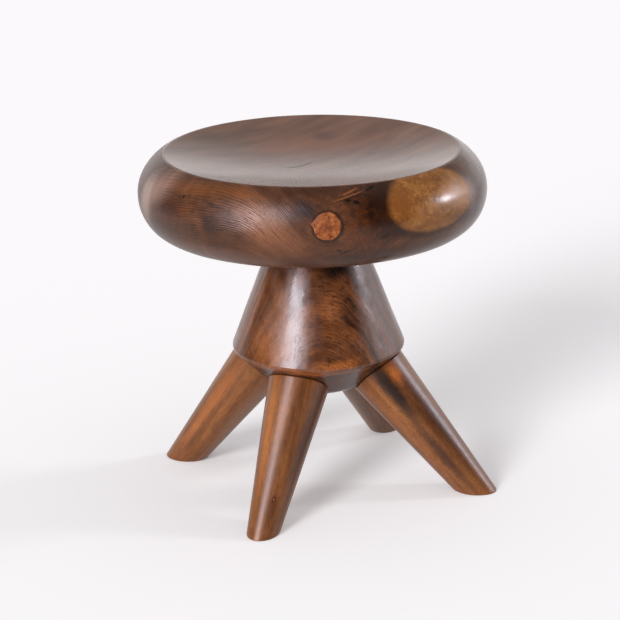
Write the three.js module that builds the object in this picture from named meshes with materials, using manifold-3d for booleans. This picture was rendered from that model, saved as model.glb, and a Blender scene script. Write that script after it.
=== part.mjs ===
// A carved wooden stool: a thick dished seat on a turned cone pedestal with four splayed, tapered legs.
// Millimetres, +Z up. The origin is on the floor, on the seat's axis, and +X and +Y lie between the legs.
// The seat and the legs are held by blind round tenons, each spread by a wedge in its kerf.
// It is worked by hand, so the pedestal and each leg have places of their own.

import * as THREE from 'three';
import { mergeVertices } from 'three/addons/utils/BufferGeometryUtils.js';
import Module from 'manifold-3d';

const wasm = await Module();
wasm.setup();

// Seat: two quarter ellipses meet at the equator, the upper one runs up to the rim of the dish
const seatRadius = 210;
const seatHeight = 423.2;
const equatorHeight = 375;
const undersideHeight = 326.6;
const upperRoundWidth = 66.4;
const lowerRoundWidth = 41.2;
const rimRadius = 178.3;
const rimEase = 1.2;
const dishDepth = 21;

// Knot in the seat's side: a disc with one small spur, let into a blind socket
const knotRadius = 15.5;
const knotDepth = 24;
const knotAzimuth = 251.7;
const knotHeight = 384.5;
const knotSpurReach = 2.7;
const knotSpurAngle = 168;
const knotSpurStart = 119;
const knotSpurEnd = 178;

// Pedestal: a cone that widens down to an arris, then a chamfer and a round to a flat base
const pedestalOffsetX = 3.4;
const pedestalOffsetY = -1.4;
const pedestalTopRadius = 50;
const arrisRadius = 106.7;
const arrisHeight = 177;
const arrisRound = 5;
const chamferAngle = 45;
const baseHeight = 127;
const baseRound = 35;

// Joint between the pedestal and the seat
const seatTenonRadius = 26;
const seatTenonLength = 42;
const seatWedgeLength = 30;
const seatWedgeHead = 5;
const seatWedgeTip = 1.5;

// Joints between the legs and the pedestal
const legTenonRadius = 15;
const legTenonLength = 46;
const legWedgeLength = 28;
const legWedgeHead = 4;
const legWedgeTip = 1.2;

// Legs: radius at the shoulder and at each sole, and each axis's reach on the floor from the pedestal's axis
const legShoulderRadius = 36.6;
const frontLeftSole = 19.2;
const frontRightSole = 20.8;
const backRightSole = 20;
const backLeftSole = 22;
const frontLeftReach = 189;
const frontRightReach = 200;
const backRightReach = 183.5;
const backLeftReach = 189;

// The azimuth is measured from +X, and the splay is the lean from the vertical
const legs = [
  { name: 'front_left', azimuth: 225.5, reach: frontLeftReach, splay: 39.8, soleRadius: frontLeftSole },
  { name: 'front_right', azimuth: 321, reach: frontRightReach, splay: 40.2, soleRadius: frontRightSole },
  { name: 'back_right', azimuth: 38.5, reach: backRightReach, splay: 37.2, soleRadius: backRightSole },
  { name: 'back_left', azimuth: 135, reach: backLeftReach, splay: 37.4, soleRadius: backLeftSole },
];

// Clearances: the glue line round a tenon, the free end of a blind hole and the run-out of a kerf
const glueGap = 0.3;
const scribeGap = 0.4;
const holeEndGap = 2;
const kerfRunout = 4;

// Fineness of the round forms
const seatSegments = 80;
const pedestalSegments = 72;
const legSegments = 40;
const holeSegments = 32;
const seatArcSteps = 9;
const dishSteps = 8;
const roundSteps = 5;

const degrees = Math.PI / 180;

const woods = {
  seat: { color: 0x55382a, roughness: 0.36 },
  pedestal: { color: 0x6f452d, roughness: 0.34 },
  leg: { color: 0x7c4a2a, roughness: 0.34 },
  knot: { color: 0xa8683c, roughness: 0.5 },
  wedge: { color: 0x8c6040, roughness: 0.6 },
};

function wood(kind) {
  return new THREE.MeshStandardMaterial({ ...woods[kind], metalness: 0 });
}

// A closed geometry as a solid that can be cut and joined
function toSolid(geometry) {
  const bare = geometry.clone();
  bare.deleteAttribute('normal');
  bare.deleteAttribute('uv');
  const merged = mergeVertices(bare);
  const index = merged.index.array;
  const triangles = [];
  for (let i = 0; i < index.length; i += 3) {
    const [a, b, c] = [index[i], index[i + 1], index[i + 2]];
    if (a !== b && b !== c && c !== a) triangles.push(a, b, c);
  }
  const vertProperties = new Float32Array(merged.attributes.position.array);
  return new wasm.Manifold(new wasm.Mesh({ numProp: 3, vertProperties, triVerts: new Uint32Array(triangles) }));
}

function toGeometry(solid) {
  const { vertProperties, triVerts } = solid.getMesh();
  const geometry = new THREE.BufferGeometry();
  geometry.setAttribute('position', new THREE.BufferAttribute(new Float32Array(vertProperties), 3));
  geometry.setIndex(new THREE.BufferAttribute(new Uint32Array(triVerts), 1));
  geometry.computeVertexNormals();
  return geometry;
}

// A form turned about the Z axis from a profile of (radius, height) points
function turned(profile, segments) {
  return new THREE.LatheGeometry(profile, segments).rotateX(Math.PI / 2);
}

function rod(radius, bottom, top, segments) {
  const length = top - bottom;
  return new THREE.CylinderGeometry(radius, radius, length, segments)
    .rotateX(Math.PI / 2)
    .translate(0, 0, bottom + length / 2);
}

function ellipseArc(centreX, centreY, radiusX, radiusY, from, to, steps) {
  const points = [];
  for (let i = 0; i <= steps; i += 1) {
    const angle = from + ((to - from) * i) / steps;
    points.push(new THREE.Vector2(centreX + radiusX * Math.cos(angle), centreY + radiusY * Math.sin(angle)));
  }
  return points;
}

// The arc that rounds a profile's corner between the points before and after it
function roundedCorner(before, corner, after, radius, steps) {
  const back = before.clone().sub(corner).normalize();
  const on = after.clone().sub(corner).normalize();
  const half = Math.acos(back.dot(on)) / 2;
  const middle = back.clone().add(on).normalize();
  const centre = middle.multiplyScalar(radius / Math.sin(half)).add(corner);
  const reach = radius / Math.tan(half);
  const first = back.multiplyScalar(reach).add(corner).sub(centre);
  const last = on.multiplyScalar(reach).add(corner).sub(centre);
  const turn = Math.atan2(first.cross(last), first.dot(last));
  const start = Math.atan2(first.y, first.x);
  return ellipseArc(centre.x, centre.y, radius, radius, start, start + turn, steps);
}

// A wedge along Z with its wide head at the top, from z = -length to 0, or the kerf that takes it
function wedgeGeometry(head, tip, length, width) {
  const shape = new THREE.Shape();
  shape.moveTo(-tip / 2, -length);
  shape.lineTo(tip / 2, -length);
  shape.lineTo(head / 2, 0);
  shape.lineTo(-head / 2, 0);
  shape.closePath();
  return new THREE.ExtrudeGeometry(shape, { depth: width, bevelEnabled: false })
    .translate(0, 0, -width / 2)
    .rotateX(Math.PI / 2);
}

// The kerf has the wedge's faces moved out by the glue gap, and runs on past its tip and head
function kerfGeometry(head, tip, length, tenonRadius) {
  const slope = (head - tip) / length;
  const runLength = length + kerfRunout + holeEndGap;
  const kerfTip = tip + 2 * glueGap - slope * kerfRunout;
  const kerfHead = head + 2 * glueGap + slope * holeEndGap;
  return wedgeGeometry(kerfHead, kerfTip, runLength, 2 * (tenonRadius + holeEndGap)).translate(0, 0, holeEndGap);
}

function seatProfile() {
  const upperCentre = seatRadius - upperRoundWidth;
  const lowerCentre = seatRadius - lowerRoundWidth;
  const rimShare = (rimRadius - upperCentre) / upperRoundWidth;
  const upperRise = (seatHeight - equatorHeight) / Math.sqrt(1 - rimShare ** 2);
  const lowerDrop = equatorHeight - undersideHeight;
  const easedAngle = Math.asin((seatHeight - rimEase - equatorHeight) / upperRise);
  const lower = ellipseArc(lowerCentre, equatorHeight, lowerRoundWidth, lowerDrop, -Math.PI / 2, 0, seatArcSteps);
  const upper = ellipseArc(upperCentre, equatorHeight, upperRoundWidth, upperRise, 0, easedAngle, seatArcSteps);
  const bowlEdge = rimRadius - rimEase;
  const bowlRadius = (bowlEdge ** 2 + dishDepth ** 2) / (2 * dishDepth);
  const bowlAngle = Math.asin(bowlEdge / bowlRadius);
  const bowlCentre = seatHeight - dishDepth + bowlRadius;
  const down = -Math.PI / 2;
  const bowl = ellipseArc(0, bowlCentre, bowlRadius, bowlRadius, down + bowlAngle, down, dishSteps);
  bowl[bowl.length - 1].x = 0;
  return [new THREE.Vector2(0, undersideHeight), ...lower, ...upper.slice(1), ...bowl];
}

function pedestalProfile() {
  const chamferRun = (arrisHeight - baseHeight) / Math.tan(chamferAngle * degrees);
  const foot = new THREE.Vector2(0, baseHeight);
  const base = new THREE.Vector2(arrisRadius - chamferRun, baseHeight);
  const arris = new THREE.Vector2(arrisRadius, arrisHeight);
  const top = new THREE.Vector2(pedestalTopRadius, undersideHeight - glueGap);
  return [
    foot,
    ...roundedCorner(foot, base, arris, baseRound, roundSteps),
    ...roundedCorner(base, arris, top, arrisRound, roundSteps),
    top,
    new THREE.Vector2(0, top.y),
  ];
}

// The knot's outline: a circle whose upper left side is drawn out to a spur
function knotOutline(radius) {
  const shape = new THREE.Shape();
  const spur = knotSpurAngle * degrees;
  const spurRadius = radius + knotSpurReach;
  shape.absarc(0, 0, radius, knotSpurStart * degrees, knotSpurEnd * degrees, true);
  shape.lineTo(spurRadius * Math.cos(spur), spurRadius * Math.sin(spur));
  shape.closePath();
  return shape;
}

// Along local X from the seat's axis outwards, with the outline's up kept up
function knotGeometry(radius, innerEnd) {
  const reach = seatRadius + holeEndGap;
  return new THREE.ExtrudeGeometry(knotOutline(radius), {
    depth: reach - innerEnd,
    bevelEnabled: false,
    curveSegments: holeSegments,
  })
    .translate(0, 0, innerEnd)
    .rotateX(Math.PI / 2)
    .rotateZ(Math.PI / 2);
}

function addMesh(parent, name, geometry, kind) {
  const mesh = new THREE.Mesh(geometry, wood(kind));
  mesh.name = name;
  parent.add(mesh);
  return mesh;
}

const seatForm = turned(seatProfile(), seatSegments);
const pedestalForm = turned(pedestalProfile(), pedestalSegments);
const seatTenonTop = undersideHeight - glueGap + seatTenonLength;
const stool = new THREE.Group();

// Pedestal frame: its own axis, on the floor
const stand = new THREE.Group();
stand.position.set(pedestalOffsetX, pedestalOffsetY, 0);
stool.add(stand);

// Knot, cut flush with the seat's side
const knotInnerEnd = seatRadius - knotDepth;
const knotFrame = new THREE.Matrix4().makeRotationZ(knotAzimuth * degrees).setPosition(0, 0, knotHeight);
const knotInSeat = toSolid(knotGeometry(knotRadius, knotInnerEnd).applyMatrix4(knotFrame))
  .intersect(toSolid(seatForm));
const knot = addMesh(stool, 'knot_plug', toGeometry(knotInSeat).applyMatrix4(knotFrame.clone().invert()), 'knot');
knot.applyMatrix4(knotFrame);

// Seat, with the knot's socket in its side and the pedestal's mortise underneath
const knotSocket = knotGeometry(knotRadius + glueGap, knotInnerEnd - glueGap).applyMatrix4(knotFrame);
const seatMortise = rod(
  seatTenonRadius + glueGap,
  undersideHeight - holeEndGap,
  seatTenonTop + holeEndGap,
  holeSegments,
).translate(pedestalOffsetX, pedestalOffsetY, 0);
const seatSolid = toSolid(seatForm).subtract(toSolid(knotSocket)).subtract(toSolid(seatMortise));
addMesh(stool, 'seat', toGeometry(seatSolid), 'seat');

// Wedge in the pedestal's tenon, its head level with the tenon's end
const seatWedgeWidth = 2 * (seatTenonRadius - glueGap);
const seatWedge = wedgeGeometry(seatWedgeHead, seatWedgeTip, seatWedgeLength, seatWedgeWidth);
addMesh(stand, 'seat_tenon_wedge', seatWedge, 'wedge').position.z = seatTenonTop;

// Pedestal with its tenon and kerf, before the legs' mortises are bored
const seatTenon = rod(seatTenonRadius, arrisHeight, seatTenonTop, holeSegments);
const seatKerf = kerfGeometry(seatWedgeHead, seatWedgeTip, seatWedgeLength, seatTenonRadius)
  .translate(0, 0, seatTenonTop);
let pedestalSolid = toSolid(pedestalForm).add(toSolid(seatTenon)).subtract(toSolid(seatKerf));

// One leg: local X points outwards from the pedestal's axis, and the origin is its axis on the floor
function buildLeg({ name, azimuth, reach, splay, soleRadius }) {
  const lean = splay * degrees;
  const turn = azimuth * degrees;
  const chamferSlope = Math.tan(chamferAngle * degrees);
  const rise = (chamferSlope * (reach - arrisRadius) + arrisHeight) / (1 + chamferSlope * Math.tan(lean));
  const shoulder = rise / Math.cos(lean);
  const taper = (legShoulderRadius - soleRadius) / shoulder;
  const below = -(soleRadius * Math.tan(lean) + holeEndGap);
  const scribed = shoulder + legShoulderRadius / 2;
  const tenonEnd = shoulder + legTenonLength;
  const axis = new THREE.Vector3(-Math.sin(lean), 0, Math.cos(lean));

  const blank = turned(
    [
      new THREE.Vector2(0, below),
      new THREE.Vector2(soleRadius + taper * below, below),
      new THREE.Vector2(soleRadius + taper * scribed, scribed),
      new THREE.Vector2(0, scribed),
    ],
    legSegments,
  ).rotateY(-lean);
  const floor = new THREE.BoxGeometry(2 * reach, 2 * reach, 2 * reach).translate(0, 0, -reach);
  const scribe = pedestalForm
    .clone()
    .rotateZ(-turn)
    .translate(-reach, 0, 0)
    .translate(-axis.x * scribeGap, 0, -axis.z * scribeGap);
  const tenon = rod(legTenonRadius, shoulder / 2, tenonEnd, holeSegments).rotateY(-lean);
  const kerf = kerfGeometry(legWedgeHead, legWedgeTip, legWedgeLength, legTenonRadius)
    .translate(0, 0, tenonEnd)
    .rotateY(-lean);
  const body = toSolid(blank)
    .subtract(toSolid(floor))
    .subtract(toSolid(scribe))
    .add(toSolid(tenon))
    .subtract(toSolid(kerf));

  const leg = new THREE.Group();
  leg.position.set(reach * Math.cos(turn), reach * Math.sin(turn), 0);
  leg.rotation.z = turn;
  stand.add(leg);
  addMesh(leg, `leg_${name}`, toGeometry(body), 'leg');

  const wedgeWidth = 2 * (legTenonRadius - glueGap);
  const wedge = wedgeGeometry(legWedgeHead, legWedgeTip, legWedgeLength, wedgeWidth);
  const wedgeMesh = addMesh(leg, `leg_wedge_${name}`, wedge, 'wedge');
  wedgeMesh.position.copy(axis).multiplyScalar(tenonEnd);
  wedgeMesh.rotation.y = -lean;

  const mortise = rod(legTenonRadius + glueGap, shoulder / 2, tenonEnd + holeEndGap, holeSegments)
    .rotateY(-lean)
    .translate(reach, 0, 0)
    .rotateZ(turn);
  return toSolid(mortise);
}

for (const leg of legs) {
  pedestalSolid = pedestalSolid.subtract(buildLeg(leg));
}
addMesh(stand, 'pedestal', toGeometry(pedestalSolid), 'pedestal');

export default stool;
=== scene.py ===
"""Looks of a dished wooden stool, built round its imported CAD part.

Shapes are in metres and +Z is up. The wood's figure is laid out in millimetres, in each piece's own grain
frame, which is kept on its mesh as the attribute "grain". Shades are sRGB, from 0 to 255.
"""

import math

import bmesh
import bpy
import numpy as np
from mathutils import Matrix, Vector, noise


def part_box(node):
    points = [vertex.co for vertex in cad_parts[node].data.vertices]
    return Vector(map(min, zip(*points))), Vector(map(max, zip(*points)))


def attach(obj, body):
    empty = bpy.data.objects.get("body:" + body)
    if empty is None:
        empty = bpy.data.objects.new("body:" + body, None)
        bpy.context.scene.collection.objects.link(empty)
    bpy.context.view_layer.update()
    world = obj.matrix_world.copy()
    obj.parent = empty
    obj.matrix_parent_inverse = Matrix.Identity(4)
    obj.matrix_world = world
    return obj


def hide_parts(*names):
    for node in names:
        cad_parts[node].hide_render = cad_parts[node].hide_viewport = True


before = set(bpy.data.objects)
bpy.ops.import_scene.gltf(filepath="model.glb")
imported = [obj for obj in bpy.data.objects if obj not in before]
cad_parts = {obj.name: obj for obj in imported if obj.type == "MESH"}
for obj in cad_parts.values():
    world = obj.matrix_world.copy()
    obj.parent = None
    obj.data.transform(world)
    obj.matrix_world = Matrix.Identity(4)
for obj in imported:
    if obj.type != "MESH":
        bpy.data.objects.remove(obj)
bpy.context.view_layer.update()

MM = 0.001
seat_low, seat_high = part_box("seat")
pedestal_low, pedestal_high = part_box("pedestal")

# Seat: two quarter ellipses meet at the equator, and the upper one runs up to the rim of the dish
SEAT_RADIUS = seat_high.x
SEAT_TOP = seat_high.z
SEAT_UNDERSIDE = seat_low.z
EQUATOR_HEIGHT = 0.375
UPPER_ROUND = 0.0664
LOWER_ROUND = 0.0412
RIM_RADIUS = 0.1783
RIM_EASE = 0.0012
DISH_DEPTH = 0.021

# Knot in the seat's side
KNOT_RADIUS = 0.0155
KNOT_DEPTH = 0.024
KNOT_AZIMUTH = math.radians(251.7)
KNOT_HEIGHT = 0.3845
KNOT_SPUR_REACH = 0.0027
KNOT_SPUR_ANGLE = math.radians(168)
KNOT_SPUR_WIDTH = math.radians(22)
KNOT_SPUR_TAPER = 1.5
KNOT_DOME = 0.0004
KNOT_SUNK_RIM = 0.0003
# The knot's uneven outline: waves of (number round it, share of the scallop, phase)
KNOT_SCALLOP = 0.00022
KNOT_WAVES = ((5, 1.0, 1), (9, 0.8, 0), (14, 0.6, 2))

# Pedestal: a cone down to an arris, then a chamfer and a round to a flat base
PEDESTAL_AXIS = Vector(((pedestal_low.x + pedestal_high.x) / 2, (pedestal_low.y + pedestal_high.y) / 2, 0))
PEDESTAL_TOP_RADIUS = 0.050
ARRIS_RADIUS = 0.1067
ARRIS_HEIGHT = 0.177
ARRIS_ROUND = 0.005
CHAMFER = math.radians(45)
BASE_HEIGHT = pedestal_low.z
BASE_ROUND = 0.035

# Legs: azimuth, reach of the axis on the floor, lean from the vertical, radius at the floor
LEG_SHOULDER_RADIUS = 0.0366
LEGS = {
    "front_left": (225.5, 0.189, 39.8, 0.0192),
    "front_right": (321, 0.200, 40.2, 0.0208),
    "back_right": (38.5, 0.1835, 37.2, 0.0200),
    "back_left": (135, 0.189, 37.4, 0.0220),
}
SOLE_EASE = 0.0028
SHOULDER_EASE = 0.0014
SHOULDER_INSETS = (0.006, 0.012, 0.02, 0.028)

GLUE_GAP = 0.0003
SCRIBE_GAP = 0.0001
HAND_WAVE = 0.0002
LEG_WAVE = 0.00012
CREASE = math.radians(42)
CLOSING_RADIUS = 0.004  # turned profiles stop this far from their axis, and ring_mesh closes them

# The side of the seat that the knot is in faces the camera, which stands this far round from -Y
FRONT_TURN = math.radians(-22.45)


def ellipse_arc(centre, radii, start, stop, steps):
    angles = np.linspace(start, stop, steps + 1)
    return np.stack([centre[0] + radii[0] * np.cos(angles), centre[1] + radii[1] * np.sin(angles)], axis=1)


def eased(before, corner, after, steps=5):
    """Points, or rings of points, that round the corner between two beside it."""
    shares = np.linspace(0, 1, steps + 1)
    return [(1 - t) ** 2 * before + 2 * t * (1 - t) * corner + t**2 * after for t in shares]


def rounded(before, corner, after, radius, steps):
    """A circular arc that rounds a profile's corner."""
    back, on = (p - corner for p in (before, after))
    back, on = back / np.linalg.norm(back), on / np.linalg.norm(on)
    half = math.acos(float(back @ on)) / 2
    middle = (back + on) / np.linalg.norm(back + on)
    centre = corner + middle * radius / math.sin(half)
    first, last = (corner + d * radius / math.tan(half) - centre for d in (back, on))
    start = math.atan2(first[1], first[0])
    turn = math.atan2(first[0] * last[1] - first[1] * last[0], float(first @ last))
    return ellipse_arc(centre, (radius, radius), start, start + turn, steps)


def straight(start, stop, steps):
    t = np.linspace(0, 1, steps + 1)[:, None]
    return (1 - t) * np.array(start) + t * np.array(stop)


def ring_mesh(name, rings):
    """A closed mesh of rings, given as (rings, points, 3), whose end rings close on their middles."""
    count, around = rings.shape[:2]
    ends = [rings[0].mean(axis=0), rings[-1].mean(axis=0)]
    vertices = np.concatenate([rings.reshape(-1, 3), ends])
    faces = []
    for i in range(count - 1):
        for j in range(around):
            k = (j + 1) % around
            faces.append((i * around + j, i * around + k, (i + 1) * around + k, (i + 1) * around + j))
    first, last = count * around, count * around + 1
    top = (count - 1) * around
    for j in range(around):
        k = (j + 1) % around
        faces.append((first, k, j))
        faces.append((last, top + j, top + k))
    mesh = bpy.data.meshes.new(name)
    mesh.from_pydata(vertices.tolist(), [], faces)
    mesh.validate()
    piece = bpy.data.objects.new(name, mesh)
    bpy.context.scene.collection.objects.link(piece)
    return piece


def turned(name, profile, around, axis=Vector()):
    """A form turned about the vertical through axis, from (radius, height) points off the axis."""
    angles = np.linspace(0, 2 * math.pi, around, endpoint=False)
    radius, height = profile[:, :1], profile[:, 1:]
    rings = np.stack(
        [axis.x + radius * np.cos(angles), axis.y + radius * np.sin(angles), height + 0 * angles], axis=2
    )
    return ring_mesh(name, rings)


def smooth_with_creases(piece):
    """Shades the mesh smooth, apart from edges that turn by more than the crease angle."""
    shape = bmesh.new()
    shape.from_mesh(piece.data)
    bmesh.ops.recalc_face_normals(shape, faces=shape.faces)
    for face in shape.faces:
        face.smooth = True
    for edge in shape.edges:
        edge.smooth = edge.calc_face_angle(0) < CREASE
    shape.to_mesh(piece.data)
    shape.free()


def wave(piece, size, depth):
    """Moves the skin inwards unevenly, by up to twice the depth, as hand work does."""
    vertices = piece.data.vertices
    normals = [vertex.normal.copy() for vertex in vertices]
    for vertex, normal in zip(vertices, normals):
        vertex.co += normal * depth * (noise.noise(vertex.co / size) - 1)


def cut(piece, cutter):
    """Takes the cutter's volume out of the piece, and removes the cutter."""
    modifier = piece.modifiers.new("cut", "BOOLEAN")
    modifier.operation = "DIFFERENCE"
    modifier.solver = "EXACT"
    modifier.object = cutter
    evaluated = piece.evaluated_get(bpy.context.evaluated_depsgraph_get())
    piece.data = bpy.data.meshes.new_from_object(evaluated)
    piece.modifiers.clear()
    bpy.data.objects.remove(cutter)


def placed(piece, matrix):
    piece.data.transform(matrix)
    return piece


def keep_grain(piece, to_grain):
    """Keeps each point's place in the grain frame, in mm, on the mesh."""
    points = np.array([v.co for v in piece.data.vertices])
    rotation = np.array(to_grain.to_3x3())
    grain = (points @ rotation.T + np.array(to_grain.translation)) / MM
    attribute = piece.data.attributes.new("grain", "FLOAT_VECTOR", "POINT")
    attribute.data.foreach_set("vector", grain.astype(np.float32).ravel())


def finish_piece(piece, node, material, to_grain):
    """Shades the piece, gives it its wood and puts it in the place of its CAD node."""
    smooth_with_creases(piece)
    keep_grain(piece, to_grain)
    piece.data.materials.clear()
    piece.data.materials.append(material)
    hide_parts(node)
    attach(piece, "root")


def upper_rise():
    """Height of the upper quarter ellipse, were it not cut off by the dish."""
    share = (RIM_RADIUS - (SEAT_RADIUS - UPPER_ROUND)) / UPPER_ROUND
    return (SEAT_TOP - EQUATOR_HEIGHT) / math.sqrt(1 - share**2)


def seat_profile():
    down = -math.pi / 2
    lower_centre = (SEAT_RADIUS - LOWER_ROUND, EQUATOR_HEIGHT)
    lower = ellipse_arc(lower_centre, (LOWER_ROUND, EQUATOR_HEIGHT - SEAT_UNDERSIDE), down, 0, steps=36)
    upper_centre = (SEAT_RADIUS - UPPER_ROUND, EQUATOR_HEIGHT)
    rise = upper_rise()
    eased_angle = math.asin((SEAT_TOP - RIM_EASE - EQUATOR_HEIGHT) / rise)
    upper = ellipse_arc(upper_centre, (UPPER_ROUND, rise), 0, eased_angle, steps=44)
    bowl_edge = RIM_RADIUS - RIM_EASE
    bowl_radius = (bowl_edge**2 + DISH_DEPTH**2) / (2 * DISH_DEPTH)
    bowl_angle = math.asin(bowl_edge / bowl_radius)
    bowl_centre = (0, SEAT_TOP - DISH_DEPTH + bowl_radius)
    bowl = ellipse_arc(bowl_centre, (bowl_radius, bowl_radius), down + bowl_angle, down, steps=60)
    corner = np.array([RIM_RADIUS - RIM_EASE / 2, SEAT_TOP])
    rim = eased(upper[-1], corner, bowl[0])
    under = straight((CLOSING_RADIUS, SEAT_UNDERSIDE), lower[0], steps=20)
    return np.concatenate([under[:-1], lower, upper[1:-1], rim, bowl[1:-1]])


def seat_side_radius(height):
    """Radius of the seat's side at a height."""
    if height < EQUATOR_HEIGHT:
        share = (EQUATOR_HEIGHT - height) / (EQUATOR_HEIGHT - SEAT_UNDERSIDE)
        return SEAT_RADIUS - LOWER_ROUND * (1 - math.sqrt(1 - share**2))
    share = (height - EQUATOR_HEIGHT) / upper_rise()
    return SEAT_RADIUS - UPPER_ROUND * (1 - math.sqrt(1 - share**2))


def seat_skin(across, up):
    """How far out the seat's side lies, at a place measured from the knot's middle."""
    radius = seat_side_radius(KNOT_HEIGHT + up)
    return math.sqrt(radius**2 - across**2)


def knot_frame():
    """The knot's own frame: outwards, to the right and up."""
    return Matrix.Translation((0, 0, KNOT_HEIGHT)) @ Matrix.Rotation(KNOT_AZIMUTH, 4, "Z")


def knot_rings(grow, outer_face, around=96):
    """Rings of the knot from its inner end to its outer face, with the outline grown by a clearance."""
    angles = np.linspace(0, 2 * math.pi, around, endpoint=False)
    off_spur = np.abs((angles - KNOT_SPUR_ANGLE + math.pi) % (2 * math.pi) - math.pi)
    spur = np.clip(1 - off_spur / KNOT_SPUR_WIDTH, 0, 1) ** KNOT_SPUR_TAPER
    scallops = sum(share * np.sin(number * angles + phase) for number, share, phase in KNOT_WAVES)
    outline = KNOT_RADIUS + grow + KNOT_SPUR_REACH * spur + KNOT_SCALLOP * scallops
    outline = list(zip(outline * np.cos(angles), outline * np.sin(angles)))
    inner = SEAT_RADIUS - KNOT_DEPTH - grow

    def ring(share, face):
        """The outline at a share of its size, on a face given as a function of the place across and up."""
        return [(face(share * across, share * up), share * across, share * up) for across, up in outline]

    rings = [ring(share, lambda across, up: inner) for share in (0.3, 0.7, 1.0)]
    for part in (0.25, 0.5, 0.75):
        rings.append(ring(1.0, lambda across, up: inner + part * (outer_face(across, up) - inner)))
    rings.append(ring(1.0, lambda across, up: outer_face(across, up) - KNOT_SUNK_RIM))
    for share in (0.97, 0.9, 0.75, 0.55, 0.35, 0.15):
        dome = KNOT_DOME * (1 - share**2)
        rings.append(ring(share, lambda across, up: outer_face(across, up) + dome))
    return np.array(rings)


def build_seat(material):
    seat = turned("seat_body", seat_profile(), around=360)
    wave(seat, 0.05, HAND_WAVE)
    socket = knot_rings(GLUE_GAP, lambda across, up: SEAT_RADIUS + 0.01)
    cutter = placed(ring_mesh("socket", socket), knot_frame())
    smooth_with_creases(cutter)
    cut(seat, cutter)
    finish_piece(seat, "seat", material, Matrix.Rotation(-FRONT_TURN, 4, "Z"))


def build_knot(material):
    knot = placed(ring_mesh("knot", knot_rings(0, seat_skin)), knot_frame())
    finish_piece(knot, "knot_plug", material, knot_frame().inverted())


def pedestal_profile():
    run = (ARRIS_HEIGHT - BASE_HEIGHT) / math.tan(CHAMFER)
    foot = np.array([CLOSING_RADIUS, BASE_HEIGHT])
    base = np.array([ARRIS_RADIUS - run, BASE_HEIGHT])
    arris = np.array([ARRIS_RADIUS, ARRIS_HEIGHT])
    top = np.array([PEDESTAL_TOP_RADIUS, SEAT_UNDERSIDE - GLUE_GAP])
    lower = rounded(foot, base, arris, BASE_ROUND, steps=16)
    upper = rounded(base, arris, top, ARRIS_ROUND, steps=10)
    return np.concatenate(
        [
            straight(foot, lower[0], steps=8)[:-1],
            lower,
            straight(lower[-1], upper[0], steps=14)[1:-1],
            upper,
            straight(upper[-1], top, steps=60)[1:],
            straight(top, (CLOSING_RADIUS, top[1]), steps=6)[1:],
        ]
    )


def pedestal_radius(height):
    """Radius of the pedestal's turned form at each height, below its top."""
    profile = pedestal_profile()
    outer = profile[np.argmin(np.abs(profile[:, 1] - BASE_HEIGHT)) :]
    outer = outer[: np.argmax(outer[:, 1]) + 1]
    return np.interp(height, outer[:, 1], outer[:, 0], left=0)


def build_pedestal(material):
    pedestal = turned("pedestal_body", pedestal_profile(), around=300, axis=PEDESTAL_AXIS)
    wave(pedestal, 0.035, HAND_WAVE)
    to_grain = Matrix.Rotation(-FRONT_TURN, 4, "Z") @ Matrix.Translation(-PEDESTAL_AXIS)
    finish_piece(pedestal, "pedestal", material, to_grain)


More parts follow.
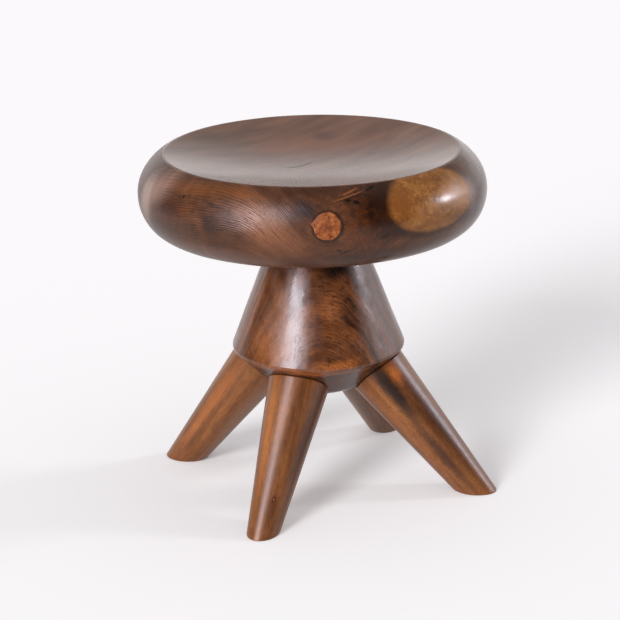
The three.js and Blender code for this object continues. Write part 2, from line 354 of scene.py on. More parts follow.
def build_leg(name, azimuth, reach, lean, sole_radius, material, around=128, steps=69):
    """A tapered leg, cut flush with the floor and scribed to the pedestal."""
    lean = math.radians(lean)
    slope = math.tan(CHAMFER)
    rise = (slope * (reach - ARRIS_RADIUS) + ARRIS_HEIGHT) / (1 + slope * math.tan(lean))
    shoulder = rise / math.cos(lean)
    taper = (LEG_SHOULDER_RADIUS - sole_radius) / shoulder
    axis = np.array([-math.sin(lean), 0, math.cos(lean)])
    out = np.array([math.cos(lean), 0, math.sin(lean)])
    side = np.array([0, 1.0, 0])
    foot = np.array([reach, 0, 0])
    angles = np.linspace(0, 2 * math.pi, around, endpoint=False)[:, None]
    spoke = np.cos(angles) * out + np.sin(angles) * side

    def at(distance, radius):
        return foot + distance * axis + radius * spoke

    def cone(distance):
        return sole_radius + taper * distance

    def on_cone(distance):
        return at(distance, cone(distance))

    def scribe(radius_at):
        """Distance along the axis at which each line of the leg meets the pedestal, found by halving."""
        low, high = np.full_like(angles, shoulder * 0.6), np.full_like(angles, shoulder * 1.35)
        for _ in range(40):
            middle = (low + high) / 2
            point = at(middle + SCRIBE_GAP, radius_at(middle))
            inside = np.hypot(point[:, 0], point[:, 1]) < pedestal_radius(point[:, 2])
            high = np.where(inside[:, None], middle, high)
            low = np.where(inside[:, None], low, middle)
        return low

    lift = np.cos(angles) * math.sin(lean)
    floor = -sole_radius * lift / (math.cos(lean) + taper * lift)
    top = scribe(cone)

    def shoulder_face(inset):
        """A ring on the scribed end, this far inside the leg's rim."""
        radius = cone(top) - inset
        return at(scribe(lambda _: radius), radius)

    sole_edge = on_cone(floor)
    middle = sole_edge.mean(axis=0)
    inward = (middle - sole_edge) / np.linalg.norm(middle - sole_edge, axis=1, keepdims=True)
    sole = sole_edge + SOLE_EASE * inward
    heel, neck = floor + SOLE_EASE, top - SHOULDER_EASE
    rings = [middle + share * (sole - middle) for share in (0.3, 0.6, 0.85)]
    rings += eased(sole, sole_edge, on_cone(heel))
    rings += [on_cone(heel + share * (neck - heel)) for share in np.linspace(0, 1, steps + 1)[1:-1]]
    rings += eased(on_cone(neck), on_cone(top), shoulder_face(SHOULDER_EASE))
    rings += [shoulder_face(inset) for inset in SHOULDER_INSETS]

    leg = ring_mesh(f"leg_{name}_body", np.array(rings))
    wave(leg, 0.04, LEG_WAVE)
    place = Matrix.Translation(PEDESTAL_AXIS) @ Matrix.Rotation(math.radians(azimuth), 4, "Z")
    placed(leg, place)
    own = Matrix([[*out, 0], [*side, 0], [*axis, 0], [0, 0, 0, 1]])
    to_grain = own @ Matrix.Translation(-Vector(foot)) @ place.inverted()
    finish_piece(leg, f"leg_{name}", material, to_grain)


def linear(red, green, blue):
    """A shade in the linear values that shaders take."""
    scaled = [channel / 255 for channel in (red, green, blue)]
    return [c / 12.92 if c <= 0.04045 else ((c + 0.055) / 1.055) ** 2.4 for c in scaled] + [1.0]


class Shader:
    """A node material, built by calls that return the socket they make. Lengths are in mm."""

    FLAT = 1000  # radius of flat patches along the third axis, so wide that it doesn't count

    def __init__(self, owner):
        """owner is the material, or the world, that the nodes are for."""
        self.owner = owner
        owner.use_nodes = True
        self.tree = owner.node_tree
        self.tree.nodes.clear()

    def node(self, kind, inputs=None, output=0, **settings):
        node = self.tree.nodes.new("ShaderNode" + kind)
        for key, value in settings.items():
            setattr(node, key, value)
        for key, value in (inputs or {}).items():
            if isinstance(value, bpy.types.NodeSocket):
                self.tree.links.new(value, node.inputs[key])
            else:
                node.inputs[key].default_value = value
        return node.outputs[output] if node.outputs else None

    def grain(self):
        return self.node("Attribute", output=1, attribute_name="grain")

    def math(self, operation, a, b=0.0, c=0.0):
        return self.node("Math", {0: a, 1: b, 2: c}, operation=operation)

    def add(self, *terms):
        total = terms[0]
        for term in terms[1:]:
            total = self.math("ADD", total, term)
        return total

    def times(self, a, b):
        return self.math("MULTIPLY", a, b)

    def weighted(self, *parts):
        """The sum of values, each given with its weight."""
        return self.add(*(self.times(value, weight) for value, weight in parts))

    def vector(self, operation, a, b):
        return self.node("VectorMath", {0: a, 1: b}, operation=operation)

    def split(self, vector):
        parts = self.node("SeparateXYZ", {0: vector}).node
        return [parts.outputs[i] for i in range(3)]

    def join(self, x, y, z=0.0):
        return self.node("CombineXYZ", {0: x, 1: y, 2: z})

    def round_front(self, x, y, radius):
        """Distance round the Z axis, from the front to the right, on a circle of the radius."""
        return self.times(self.math("ARCTAN2", x, self.times(y, -1.0)), radius)

    def noise(self, vector, size, detail=2.0, roughness=0.5, colour=False):
        """Noise from 0 to 1 whose cells have the given size along each axis."""
        size = size if isinstance(size, tuple) else (size,) * 3
        scaled = self.vector("MULTIPLY", vector, [1 / s for s in size])
        inputs = {"Vector": scaled, "Scale": 1.0, "Detail": detail, "Roughness": roughness}
        return self.node("TexNoise", inputs, output=1 if colour else 0)

    def swing(self, vector, size):
        """Noise from -0.5 to 0.5."""
        return self.add(self.noise(vector, size), -0.5)

    def warped(self, vector, size, reach, detail=1.0):
        """The vector moved about by soft noise, by up to reach along each axis."""
        shift = self.vector("SUBTRACT", self.noise(vector, size, detail, colour=True), (0.5, 0.5, 0.5))
        reach = reach if isinstance(reach, tuple) else (reach,) * 3
        return self.vector("ADD", vector, self.vector("MULTIPLY", shift, [2 * r for r in reach]))

    def fade(self, value, start, stop, low=0.0, high=1.0):
        """Goes smoothly from low to high as the value goes from start to stop."""
        inputs = {0: value, 1: start, 2: stop, 3: low, 4: high}
        return self.node("MapRange", inputs, interpolation_type="SMOOTHSTEP")

    def bell(self, value, middle, width):
        """1 at the middle, falling away to both sides."""
        off = self.times(self.add(value, -middle), 1 / width)
        return self.math("EXPONENT", self.times(self.times(off, off), -1.0))

    def distance(self, place, middle, radii, turn=0):
        """Distance from the middle of a flat patch, in shares of its radii along axes turned by degrees."""
        inputs = {
            "Vector": place,
            "Location": (*middle, 0),
            "Rotation": (0, 0, math.radians(turn)),
            "Scale": (*radii, self.FLAT),
        }
        local = self.node("Mapping", inputs, vector_type="TEXTURE")
        return self.node("VectorMath", {0: local}, output=1, operation="LENGTH")

    def spot(self, place, middle, radii, turn=0, soft=0.5):
        """A flat patch: 1 inside, 0 outside its radii, with a soft border."""
        return self.fade(self.distance(place, middle, radii, turn), 1.0, 1.0 - soft)

    def rings(self, layer, spacing):
        """Growth rings: goes from 0 to 1 and back over each spacing of the layer."""
        wave_of_rings = self.math("SINE", self.times(layer, 2 * math.pi / spacing))
        return self.math("MULTIPLY_ADD", wave_of_rings, 0.5, 0.5)

    def mix(self, share, a, b):
        inputs = {0: share, 6: a, 7: b}
        return self.node("Mix", inputs, output=2, data_type="RGBA", blend_type="MIX", clamp_factor=True)

    def tinted(self, colour, share, shade):
        """The colour with a share of a shade laid on it."""
        return self.mix(share, colour, linear(*shade))

    def patched(self, colour, place, patches):
        """The colour with patches laid on it, each a (middle, radii, turn, softness, shade, strength)."""
        for middle, radii, turn, soft, shade, strength in patches:
            share = self.spot(place, middle, radii, turn, soft)
            colour = self.tinted(colour, self.times(share, strength), shade)
        return colour

    def shaded(self, colour, *changes):
        """The colour made lighter, or darker where the changes are below 0, by shares of itself."""
        factor = self.add(1.0, *changes)
        return self.node("VectorMath", {0: colour, "Scale": factor}, operation="SCALE")

    def colours(self, value, *shades, low=0.3, high=0.7):
        """A ramp of shades, spread evenly over the values from low to high."""
        ramp = self.node("ValToRGB", {0: value}).node
        elements = ramp.color_ramp.elements
        while len(elements) < len(shades):
            elements.new(0.5)
        for element, position, shade in zip(elements, np.linspace(low, high, len(shades)), shades):
            element.position = position
            element.color = linear(*shade)
        return ramp.outputs[0]

    def surface(self, colour, roughness, height, specular=0.5):
        """Ends the material: a lacquered surface, whose height is in mm."""
        bump = self.node("Bump", {"Strength": 1.0, "Distance": MM, "Height": height})
        inputs = {
            "Base Color": colour,
            "Roughness": roughness,
            "Specular IOR Level": specular,
            "Normal": bump,
        }
        self.node("OutputMaterial", {0: self.node("BsdfPrincipled", inputs)})
        return self.owner


# Patches of figure, a few of them painted light or shade: (middle, radii, turn in degrees, softness, shade,
# strength).
# Those of the seat's side lie by (distance round to the right of its front, height).
SEAT_WRAP = 200  # radius on which the distance round the seat is measured
SEAT_PATCHES = (
    ((-184, 386), (44, 26), 0, 0.9, (58, 29, 16), 0.75),
    ((-140, 414), (90, 11), 2, 0.9, (112, 66, 34), 0.7),
    ((-86, 415), (28, 7), -3, 0.9, (108, 58, 26), 0.75),
    ((-62, 419), (18, 5.5), -14, 0.6, (48, 27, 17), 0.8),
    ((0, 421), (60, 9), 0, 0.9, (60, 33, 18), 0.75),
    # Painted reflection of the pale surroundings along the seat's left edge, in this patch and the next
    ((-216, 404), (48, 28), 32, 0.95, (150, 116, 102), 0.6),
    ((-244, 388), (26, 40), 0, 0.95, (164, 138, 128), 0.7),
    # Painted reflection of the backdrop along the seat's right edge
    ((214, 392), (26, 30), 0, 0.9, (126, 106, 102), 0.75),
    ((-118, 381), (20, 18), -35, 0.9, (38, 26, 21), 0.75),
    ((-146, 372), (14, 20), 10, 0.8, (44, 28, 20), 0.55),
    ((-160, 390), (16, 10), 0, 0.9, (104, 58, 34), 0.5),
    ((-50, 415), (20, 9), -40, 0.9, (78, 46, 30), 0.6),
    ((-119, 402), (14, 3), -8, 0.9, (44, 26, 18), 0.7),
    # Lighter wood in the fan, partly a painted sheen of the key light
    ((-54, 387), (68, 32), -38, 0.9, (142, 92, 64), 0.6),
    ((-10, 401), (20, 15), -20, 0.8, (44, 28, 26), 0.85),
    ((-110, 342), (90, 16), -3, 0.9, (100, 72, 62), 0.75),
    ((66, 345), (120, 14), 2, 0.9, (48, 27, 18), 0.6),
    ((-14, 342), (40, 10), 0, 0.9, (78, 46, 36), 0.6),
    ((80, 398), (54, 42), 0, 0.8, (31, 10, 3), 0.95),
    ((86, 374), (22, 14), -20, 0.9, (34, 16, 9), 0.7),
)
SEAT_MARKS = (
    ((-164, 403.5), (2.2, 2.4), 0, 0.6, (26, 15, 10), 0.9),
    ((77, 367.5), (8, 4), 20, 0.9, (30, 17, 12), 0.8),
    ((44, 417.4), (15, 1.1), 13, 0.6, (138, 80, 42), 0.7),
    ((41, 413.2), (27, 0.9), 12, 0.6, (138, 80, 42), 0.7),
    ((42, 411.8), (28, 0.8), 12, 0.7, (30, 16, 10), 0.6),
    ((40, 409.6), (5, 1.5), 0, 0.5, (14, 8, 8), 0.9),
    ((49, 407.6), (5, 2.4), -18, 0.5, (14, 8, 8), 0.9),
    ((70, 418.6), (9, 1.6), 14, 0.5, (16, 9, 9), 0.9),
    ((27, 355.4), (6, 1.6), -24, 0.7, (22, 20, 22), 0.9),
    ((35, 353.4), (10, 1.8), 26, 0.7, (20, 18, 20), 0.95),
    ((82, 347), (12, 2), 16, 0.9, (44, 38, 38), 0.6),
)
KNOT_PLACE = (15, 384.5)
SAPWOOD_PLACE = (151, 397)
SAPWOOD_RADII = (68, 34)
SAPWOOD_PATCHES = (
    ((100, 403), (34, 28), 0, 0.9, (118, 66, 27), 0.75),
    ((150, 372), (62, 13), 0, 0.9, (116, 74, 38), 0.6),
    ((194, 398), (40, 26), 0, 0.9, (184, 136, 94), 0.55),
)

# The dish's patches lie by (distance to the right, distance back) from the seat's axis
DISH_PATCHES = (
    ((8, 85), (120, 66), 0, 0.9, (134, 86, 64), 0.55),
    ((-50, 60), (46, 20), 20, 0.9, (136, 88, 62), 0.35),
    ((16, 112), (20, 22), 0, 0.9, (78, 56, 50), 0.6),
    ((-110, 70), (60, 60), 0, 0.9, (96, 78, 66), 0.5),
    ((60, 20), (14, 90), -32, 0.9, (76, 58, 52), 0.45),
)
DISH_STREAKS = (0.77, 0.64)  # direction of the dish's streaks, to the right and back

# The pedestal's patches lie by (distance to the right of its axis, height)
PEDESTAL_PATCHES = (
    ((-52, 285), (14, 16), 0, 0.9, (58, 32, 20), 0.5),
    # Painted shadow under the seat, on the top of the pedestal
    ((22, 294), (36, 20), 0, 0.9, (12, 5, 2), 0.95),
    ((16, 252), (26, 30), 0, 0.9, (156, 92, 52), 0.5),
    ((22, 184), (34, 8), 6, 0.9, (176, 100, 44), 0.55),
    ((0, 226), (10, 44), 0, 0.9, (84, 54, 46), 0.55),
    # Greyish wood where the key light's highlight falls, partly a painted sheen
    ((-40, 215), (40, 60), 0, 0.9, (152, 112, 94), 0.55),
    ((-44, 250), (14, 50), 14, 0.9, (142, 98, 76), 0.5),
    # Greyish wood under the key light's highlight, partly a painted sheen
    ((-27, 235), (15, 70), 3, 0.9, (124, 104, 98), 0.6),
    ((66, 235), (24, 80), -16, 0.8, (98, 66, 50), 0.5),
    ((-62, 198), (26, 34), 0, 0.9, (160, 98, 56), 0.45),
)
PEDESTAL_CHECKS = (
    ((-28.5, 200), (0.9, 24), -3.7, 0.5, (34, 28, 32), 0.85),
    ((-22.5, 255.5), (0.7, 9), -3.8, 0.6, (40, 30, 32), 0.7),
    ((11, 183.5), (0.7, 9), -7.6, 0.6, (34, 20, 16), 0.7),
)
# Streaks along the pedestal's layers: layer, width, from and to which distance right, strength, shade
PEDESTAL_STREAKS = (
    (44, 4, -30, -50, 0.55, (60, 30, 17)),
    (36, 4, -30, -50, 0.35, (152, 84, 42)),
    (79, 2.2, 22, 34, 0.8, (42, 24, 17)),
)

# The legs' patches lie by (degrees round from the outer side, distance up the axis)
LEG_PATCHES = {
    "front_left": (
        ((34, 27), (22, 26), 0, 0.9, (84, 44, 24), 0.65),
        ((30, 38), (9, 5), 0, 0.8, (52, 26, 16), 0.85),
        ((30, 38), (2.8, 1.8), 0, 0.6, (186, 92, 52), 0.9),
        # The side away from the key light: darker wood and painted shade
        ((72, 120), (34, 140), 0, 0.9, (60, 27, 11), 0.85),
        ((-26, 120), (18, 140), 0, 0.9, (190, 118, 62), 0.5),
    ),
    "front_right": (
        ((-70, 168), (23, 74), 0, 0.85, (30, 12, 4), 0.95),
        ((-79, 66), (22, 80), 0, 0.9, (48, 22, 8), 0.75),
        ((-34, 100), (38, 130), 0, 0.9, (60, 28, 9), 0.85),
        ((-44, 182), (17, 26), -6, 0.9, (172, 94, 38), 0.8),
        ((-112, 110), (22, 120), 0, 0.9, (142, 88, 54), 0.45),
    ),
    "back_right": (((0, 100), (900, 900), 0, 0.5, (120, 90, 74), 0.65),),
    "back_left": (
        ((66, 100), (24, 120), 0, 0.9, (184, 108, 52), 0.5),
        ((148, 120), (34, 130), 0, 0.9, (142, 102, 78), 0.65),
        ((108, 82), (10, 12), 0, 0.9, (96, 62, 44), 0.6),
    ),
}
LEG_SPECKS = {"front_left": 0.35, "front_right": 1.0, "back_right": 0.35, "back_left": 0.35}
LEG_SPACING = 130  # the legs' figures are taken this far apart, so that no two are alike


def dish_colour(s, x, y):
    """The dish: streaks that run back and to the right, redder behind the middle."""
    right, back = DISH_STREAKS
    along = s.weighted((x, right), (y, back))
    across = s.weighted((x, -back), (y, right))
    place = s.warped(s.join(along, across), 90, 14)
    bands = s.noise(place, (110, 26, 100), 3.0, 0.55)
    fine = s.noise(place, (60, 2.6, 100), 2.0, 0.6)
    tone = s.add(s.weighted((bands, 0.7), (fine, 0.12)), 0.09)
    colour = s.colours(tone, (85, 61, 51), (108, 79, 66), (130, 95, 78))
    return s.patched(colour, s.warped(s.join(x, y), 40, 8, 2.0), DISH_PATCHES)


def dish_crack(s, x, y):
    """The hair crack near the middle of the dish, bent like a bow: 1 in it, 0 elsewhere."""
    off_line = s.add(y, s.times(s.times(x, x), -0.0215), s.times(x, -1.52), -10.9)
    return s.times(s.bell(off_line, 0, 2.4), s.spot(s.join(x, y), (-13, -2), (27, 27)))


def sapwood_colour(s, grain, place, side, oval):
    """The pale oval: mottled, with thin rings along its border."""
    arc, height, _ = s.split(side)
    rings = s.noise(s.join(s.times(oval, 66), arc, height), (1.6, 8, 8))
    mottle = s.noise(place, (16, 16, 10), 4.0, 0.6)
    fine = s.noise(grain, (2.2, 2.2, 4))
    tone = s.add(s.weighted((mottle, 0.85), (rings, 0.35), (fine, 0.5)), -0.35)
    colour = s.colours(tone, (104, 64, 28), (134, 85, 39), (162, 110, 56))
    return s.patched(colour, side, SAPWOOD_PATCHES)


def seat_material():
    """Dark wood with a fan of fine lines left of the knot, a pale oval right of it and a calm dish."""
    s = Shader(bpy.data.materials.new("seat_wood"))
    grain = s.grain()
    own_x, own_y, own_z = s.split(grain)
    own_arc = s.round_front(own_x, own_y, SEAT_WRAP)
    marks = s.warped(s.join(own_arc, own_z), 5, 0.7)
    place = s.warped(grain, 45, (6, 6, 4), 2.0)
    x, y, z = s.split(place)
    arc = s.round_front(x, y, SEAT_WRAP)
    side = s.join(arc, z)

    # The ground: layers of growth that dip in the middle of the front, and calm mottle right of the knot
    dip = s.times(s.bell(x, 14, 62), s.fade(y, -60, -170))
    layer = s.add(z, s.weighted((dip, 86), (x, -0.05), (y, 0.078)))
    fibre = s.join(x, y, layer)
    bands = s.noise(fibre, (260, 160, 12), 3.0)
    mottle = s.noise(grain, 7, 3.0, 0.65)
    blotch = s.noise(place, 55)
    calm = s.spot(side, (64, 395), (84, 48))
    tone = s.add(s.weighted((s.mix(calm, bands, mottle), 0.38), (blotch, 0.45), (mottle, 0.2)), -0.015)
    colour = s.colours(tone, (50, 28, 17), (76, 45, 28), (104, 64, 41))
    # These patches add figure, and also painted reflections along the side's left and right edges and a
    # painted sheen in the fan
    colour = s.patched(colour, side, SEAT_PATCHES)
    amber = s.fade(s.noise(grain, 12, 3.0, 0.6), 0.42, 0.62)
    amber = s.times(amber, s.spot(side, (56, 385), (58, 36), soft=0.8))
    colour = s.tinted(colour, s.times(amber, 0.6), (86, 42, 13))

    # Fine lines along the layers, deepest in the fan, bars at the far left, and specks
    fan = s.spot(side, (-80, 385), (150, 46), soft=0.8)
    lines = s.rings(s.add(layer, s.times(s.noise(fibre, (70, 70, 12), 3.0), 5)), 2.9)
    pores = s.fade(s.noise(fibre, (16, 16, 1.3), 1.0), 0.5, 0.7)
    grooves = s.weighted((s.math("POWER", lines, 0.6), 0.8), (pores, -0.6))
    depth = s.times(s.add(0.28, s.times(fan, 0.58)), s.fade(s.noise(place, 24), 0.35, 0.6, 0.55, 1.1))
    bars = s.times(s.swing(side, (9, 34, 9)), s.fade(arc, -90, -130))
    specks = s.times(s.swing(grain, (1.6, 1.6, 2.4)), s.fade(arc, -40, 20, 0.3, 0.9))
    colour = s.shaded(colour, s.times(s.add(grooves, -0.25), depth))
    colour = s.shaded(colour, s.times(bars, 0.6))
    colour = s.shaded(colour, specks)

    # The sapwood's oval, dark along its left border
    oval = s.distance(s.warped(marks, 26, 3), SAPWOOD_PLACE, SAPWOOD_RADII)
    sapwood = s.fade(oval, 1.05, 0.9)
    border = s.times(s.bell(oval, 1.12, 0.12), s.fade(arc, 170, 110))
    colour = s.tinted(colour, s.times(border, 0.7), (44, 24, 15))
    colour = s.mix(sapwood, colour, sapwood_colour(s, grain, place, side, oval))

    # Slivers and small voids, and the dark ring round the knot
    colour = s.patched(colour, marks, SEAT_MARKS)
    plug = s.distance(marks, KNOT_PLACE, (KNOT_RADIUS / MM, KNOT_RADIUS / MM))
    colour = s.tinted(colour, s.times(s.fade(plug, 1.28, 1.04), 0.75), (34, 20, 15))

    # The dish, inside the rim and not below it
    rim = RIM_RADIUS / MM
    radius = s.math("SQRT", s.weighted((own_x, own_x), (own_y, own_y)))
    dish = s.times(s.fade(radius, rim + 0.9, rim - 0.1), s.fade(own_z, 380, 400))
    crack = s.times(dish_crack(s, own_x, own_y), dish)
    colour = s.mix(dish, colour, dish_colour(s, own_x, own_y))
    colour = s.tinted(colour, s.times(crack, 0.9), (28, 20, 17))

    # The lines stand out of the dark wood alone. The dish and the seat's right side are glossier.
    relief = s.weighted((grooves, s.add(0.07, s.times(fan, 0.09))), (mottle, 0.03))
    relief = s.times(relief, s.fade(s.math("MAXIMUM", sapwood, dish), 0, 1, 1.0, 0.0))
    uneven = s.times(s.noise(place, 20), s.fade(dish, 0, 1, 0.35, 0.0))
    height = s.add(relief, uneven, s.times(crack, -0.24))
    gloss = s.math("MAXIMUM", s.fade(own_arc, 20, 90), dish)
    roughness = s.add(0.29, s.weighted((mottle, 0.08), (gloss, -0.13)))
    return s.surface(colour, roughness, height, specular=0.25)


def knot_material():
    s = Shader(bpy.data.materials.new("knot_wood"))
    mottle = s.noise(s.grain(), 4.5, 3.0, 0.6)
    colour = s.colours(mottle, (92, 40, 14), (140, 76, 36), (168, 100, 52))
    return s.surface(colour, s.add(0.42, s.times(mottle, 0.1)), s.times(mottle, 0.2), specular=0.2)


def pedestal_material():
    """Mid brown wood whose layers lie upright behind each other, so that the cone cuts them into arches."""
    s = Shader(bpy.data.materials.new("pedestal_wood"))
    grain = s.grain()
    curl = s.warped(grain, 11, (1.3, 1.3, 2.6), 2.0)
    x, y, z = s.split(s.warped(curl, 55, (6, 5, 14)))
    layer = s.weighted((y, -1.0), (x, 0.04))
    fibre = s.join(x, layer, z)
    bands = s.noise(fibre, (90, 7, 220), 3.0, 0.6)
    mottle = s.noise(grain, 8, 3.0, 0.6)
    tone = s.weighted((bands, 0.8), (mottle, 0.2))
    colour = s.colours(tone, (60, 31, 16), (98, 56, 30), (136, 80, 43), low=0.33, high=0.67)
    for middle, width, start, stop, strength, shade in PEDESTAL_STREAKS:
        streak = s.times(s.bell(layer, middle, width), s.fade(x, start, stop))
        colour = s.tinted(colour, s.times(streak, strength), shade)
    # These patches add figure, and also a painted shadow under the seat and a painted sheen where the key
    # light's highlight falls
    colour = s.patched(colour, s.join(x, z), PEDESTAL_PATCHES)

    # Fine lines along the layers, deeper to the right, and specks
    lines = s.rings(s.add(layer, s.times(s.noise(fibre, (30, 5, 60)), 3)), 1.7)
    pores = s.fade(s.noise(fibre, (8, 1.1, 26), 1.0), 0.52, 0.7)
    grooves = s.weighted((lines, 0.6), (pores, -0.9))
    depth = s.add(0.2, s.times(s.fade(x, -10, 16), 0.3))
    specks = s.swing(grain, (1.8, 1.8, 5))
    colour = s.shaded(colour, s.times(s.add(grooves, -0.2), depth), s.times(specks, 0.8))

    # Checks in the front alone
    own_x, own_y, own_z = s.split(s.warped(grain, 9, (0.6, 0, 0), 2.0))
    checked = s.patched(colour, s.join(own_x, own_z), PEDESTAL_CHECKS)
    colour = s.mix(s.fade(own_y, -20, -40), colour, checked)

    # A painted highlight runs along the front of the arris, and painted shade darkens the chamfer below it
    arris = s.times(s.bell(z, 174, 3.5), s.bell(x, -16, 30))
    colour = s.tinted(colour, s.times(arris, 0.7), (176, 96, 48))
    colour = s.tinted(colour, s.times(s.fade(z, 172, 166), 0.8), (62, 31, 16))

    height = s.weighted((grooves, 0.03), (s.noise(grain, 13, 1.0), 0.22), (mottle, 0.02))
    worn = s.fade(s.noise(grain, (14, 14, 30)), 0.35, 0.65)
    roughness = s.add(0.13, s.weighted((worn, 0.13), (mottle, 0.06)))
    return s.surface(colour, roughness, height, specular=0.42)


def leg_material(name):
    """Straight-grained wood, with the dark and light streaks of the one leg."""
    s = Shader(bpy.data.materials.new(f"leg_wood_{name}"))
    grain = s.grain()
    own = s.vector("ADD", grain, (0, LEG_SPACING * list(LEGS).index(name), 0))
    place = s.warped(own, (40, 40, 140), (4, 4, 8))
    bands = s.noise(place, (10, 10, 300), 3.0, 0.55)
    mottle = s.noise(own, (7, 7, 12), 3.0, 0.6)
    tone = s.weighted((bands, 0.75), (mottle, 0.25))
    colour = s.colours(tone, (88, 50, 24), (118, 70, 34), (145, 90, 47))

    out, side, along = s.split(grain)
    around = s.times(s.math("ARCTAN2", side, out), 180 / math.pi)
    figure = s.warped(s.join(around, along), 14, (5, 6, 0), 3.0)
    # These patches add figure, and on the front left leg also painted shade on its side away from the key
    # light
    colour = s.patched(colour, figure, LEG_PATCHES[name])
    colour = s.shaded(colour, s.times(s.swing(own, (1.7, 1.7, 3.4)), LEG_SPECKS[name]))

    lines = s.noise(place, (1.7, 1.7, 130), 2.0, 0.6)
    pores = s.fade(s.noise(place, (1.1, 1.1, 16), 1.0), 0.54, 0.7)
    grooves = s.weighted((s.fade(lines, 0.3, 0.7), 0.6), (pores, -0.8))
    colour = s.shaded(colour, s.times(s.add(grooves, -0.2), 0.3))
    height = s.weighted((grooves, 0.03), (s.noise(own, (16, 16, 40), 1.0), 0.12), (mottle, 0.04))
    return s.surface(colour, s.add(0.28, s.times(mottle, 0.14)), height, specular=0.35)


def wedge_material():
    """Bare sawn wood, laid out in the wedges' own coordinates, since CAD meshes keep no grain."""
    s = Shader(bpy.data.materials.new("wedge_wood"))
    place = s.vector("MULTIPLY", s.node("TexCoord", output=3), (1 / MM,) * 3)
    lines = s.noise(s.warped(place, 30, 3), (3, 3, 50), 3.0, 0.6)
    colour = s.colours(lines, (110, 72, 44), (168, 122, 82))
    return s.surface(colour, s.add(0.5, s.times(lines, 0.15)), s.times(lines, 0.15))


# The photograph's viewing angle
CAMERA_PLACE = (-0.91865, -2.20780, 1.01401)
CAMERA_TARGET = (-0.00547, 0.00226, 0.21896)
CAMERA_ROLL = math.radians(-1.196)
CAMERA_LENS = 119.19
CAMERA_SENSOR = 36

# Lamps that light the surfaces: name, azimuth, elevation, angular width, strength
SUNS = (
    ("key_low", 214, 16, 18, 1.3),
    ("key_high", 214, 28, 18, 1.3),
    ("side", 349, 30, 9, 0.5),
)
# Softboxes that the gloss mirrors: name, azimuth, elevation, angular width and height, radiance
SOFTBOXES = (
    ("key_gloss", 208, 26, 45, 46, 2.9),
    ("key_core", 209, 26, 20, 42, 14),
    ("side_gloss", 352, 14, 44, 40, 0.8),
    ("side_halo", 351, 18, 24, 18, 3.5),
    ("side_core", 344, 18, 10, 8, 37),
)
SOFTBOX_DISTANCE = 3.0
SOFTBOX_COLOUR = (0.88, 0.91, 1.04)
SOFTBOX_CENTRE = Vector((0, 0, SEAT_TOP * 0.7))

# What the world shows: to diffuse rays an even ambient, and to gloss a backdrop in a dark room
WORLD_COLOUR = (1, 0.97, 0.975, 1)
AMBIENT = 0.50
ROOM = 0.03
BACKDROP = 1.35
BACKDROP_AZIMUTH = 42
ABOVE_BACKDROP = 0.4
BACKDROP_ELEVATIONS = (30, 9)  # between these it goes over to what is above it

FLOOR_SHADE = (240, 239, 241)
FLOOR_HALF = 12.0
FLOOR_LIFT = 0.225


def aimed(location, target, roll=0.0):
    """A matrix for a camera or lamp at a place, looking at a target."""
    location, target = Vector(location), Vector(target)
    turn = (target - location).to_track_quat("-Z", "Y").to_matrix().to_4x4()
    return Matrix.Translation(location) @ turn @ Matrix.Rotation(roll, 4, "Z")


def towards(azimuth, elevation):
    """The direction from the stool to a place round it, in degrees."""
    a, e = math.radians(azimuth), math.radians(elevation)
    return Vector((math.cos(a) * math.cos(e), math.sin(a) * math.cos(e), math.sin(e)))


def add_camera():
    data = bpy.data.cameras.new("camera")
    data.sensor_width = CAMERA_SENSOR
    data.lens = CAMERA_LENS
    camera = bpy.data.objects.new("camera", data)
    camera.matrix_world = aimed(CAMERA_PLACE, CAMERA_TARGET, CAMERA_ROLL)
    bpy.context.scene.collection.objects.link(camera)
    bpy.context.scene.camera = camera


def add_lamp(name, kind, energy, matrix, glossy):
    """A lamp that lights either the surfaces or their gloss."""
    data = bpy.data.lights.new(name, kind)
    data.energy = energy
    lamp = bpy.data.objects.new(name, data)
    lamp.matrix_world = matrix
    lamp.visible_camera = False
    lamp.visible_glossy = glossy
    lamp.visible_diffuse = not glossy
    bpy.context.scene.collection.objects.link(lamp)
    return data


def add_sun(name, azimuth, elevation, width, strength):
    """Light from a far softbox of the given angular width, even all over the floor."""
    data = add_lamp(name, "SUN", strength, aimed(towards(azimuth, elevation), (0, 0, 0)), glossy=False)
    data.angle = math.radians(width)


def add_softbox(name, azimuth, elevation, width, height, radiance):
    """The reflection of a softbox, whose width and height are angles seen from the stool."""
    matrix = aimed(SOFTBOX_CENTRE + towards(azimuth, elevation) * SOFTBOX_DISTANCE, SOFTBOX_CENTRE)
    across, up = (2 * SOFTBOX_DISTANCE * math.tan(math.radians(angle / 2)) for angle in (width, height))
    data = add_lamp(name, "AREA", radiance * math.pi * across * up, matrix, glossy=True)
    data.color = SOFTBOX_COLOUR
    data.shape = "RECTANGLE"
    data.size, data.size_y = across, up


def ray_kinds(s):
    """Two sockets: 1 for the camera's rays, and 1 for those of reflections and refractions."""
    rays = s.tree.nodes.new("ShaderNodeLightPath").outputs
    return rays["Is Camera Ray"], s.math("MAXIMUM", rays["Is Glossy Ray"], rays["Is Transmission Ray"])


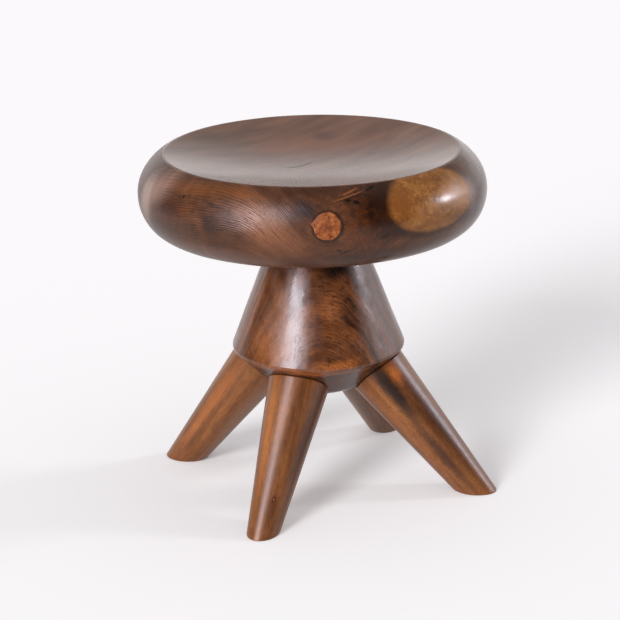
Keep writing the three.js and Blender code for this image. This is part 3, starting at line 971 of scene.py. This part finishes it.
def add_world():
    """Even light before white, in which gloss mirrors a backdrop behind the stool and a dark room."""
    world = bpy.data.worlds.new("studio")
    world.cycles.sampling_method = "NONE"
    s = Shader(world)
    direction = s.node("TexCoord", output=0)
    backdrop = towards(BACKDROP_AZIMUTH, 0)
    behind = s.node("VectorMath", {0: direction, 1: backdrop}, output=1, operation="DOT_PRODUCT")
    high, low = (math.sin(math.radians(angle)) for angle in BACKDROP_ELEVATIONS)
    wall = s.fade(s.split(direction)[2], high, low, ABOVE_BACKDROP, BACKDROP)
    mirrored = s.add(ROOM, s.times(s.fade(behind, 0.0, 0.16), s.add(wall, -ROOM)))
    camera, gloss = ray_kinds(s)
    rest = s.math("SUBTRACT", s.math("SUBTRACT", 1.0, camera), gloss)
    strength = s.add(camera, s.weighted((mirrored, gloss), (rest, AMBIENT)))
    s.node("OutputWorld", {0: s.node("Background", {"Color": WORLD_COLOUR, "Strength": strength})})
    bpy.context.scene.world = world


def add_floor():
    """A plain pale floor, lifted to the background's white by a glow that only camera and gloss see."""
    mesh = bpy.data.meshes.new("floor")
    corners = [(x * FLOOR_HALF, y * FLOOR_HALF, 0) for x, y in ((-1, -1), (1, -1), (1, 1), (-1, 1))]
    mesh.from_pydata(corners, [], [(0, 1, 2, 3)])
    floor = bpy.data.objects.new("floor", mesh)
    bpy.context.scene.collection.objects.link(floor)
    s = Shader(bpy.data.materials.new("floor"))
    white = linear(*FLOOR_SHADE)
    paint = s.node("BsdfDiffuse", {"Color": white})
    seen = s.math("MAXIMUM", *ray_kinds(s))
    glow = s.node("Emission", {"Color": white, "Strength": s.times(seen, FLOOR_LIFT)})
    s.node("OutputMaterial", {0: s.node("AddShader", {0: paint, 1: glow})})
    mesh.materials.append(s.owner)


build_seat(seat_material())
build_knot(knot_material())
build_pedestal(pedestal_material())
for leg_name, leg_sizes in LEGS.items():
    build_leg(leg_name, *leg_sizes, leg_material(leg_name))
wedge_wood = wedge_material()
for node_name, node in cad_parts.items():
    if "wedge" in node_name:
        node.data.materials.clear()
        node.data.materials.append(wedge_wood)

add_camera()
add_world()
add_floor()
for sun in SUNS:
    add_sun(*sun)
for softbox in SOFTBOXES:
    add_softbox(*softbox)
bpy.context.scene.view_settings.view_transform = "Standard"
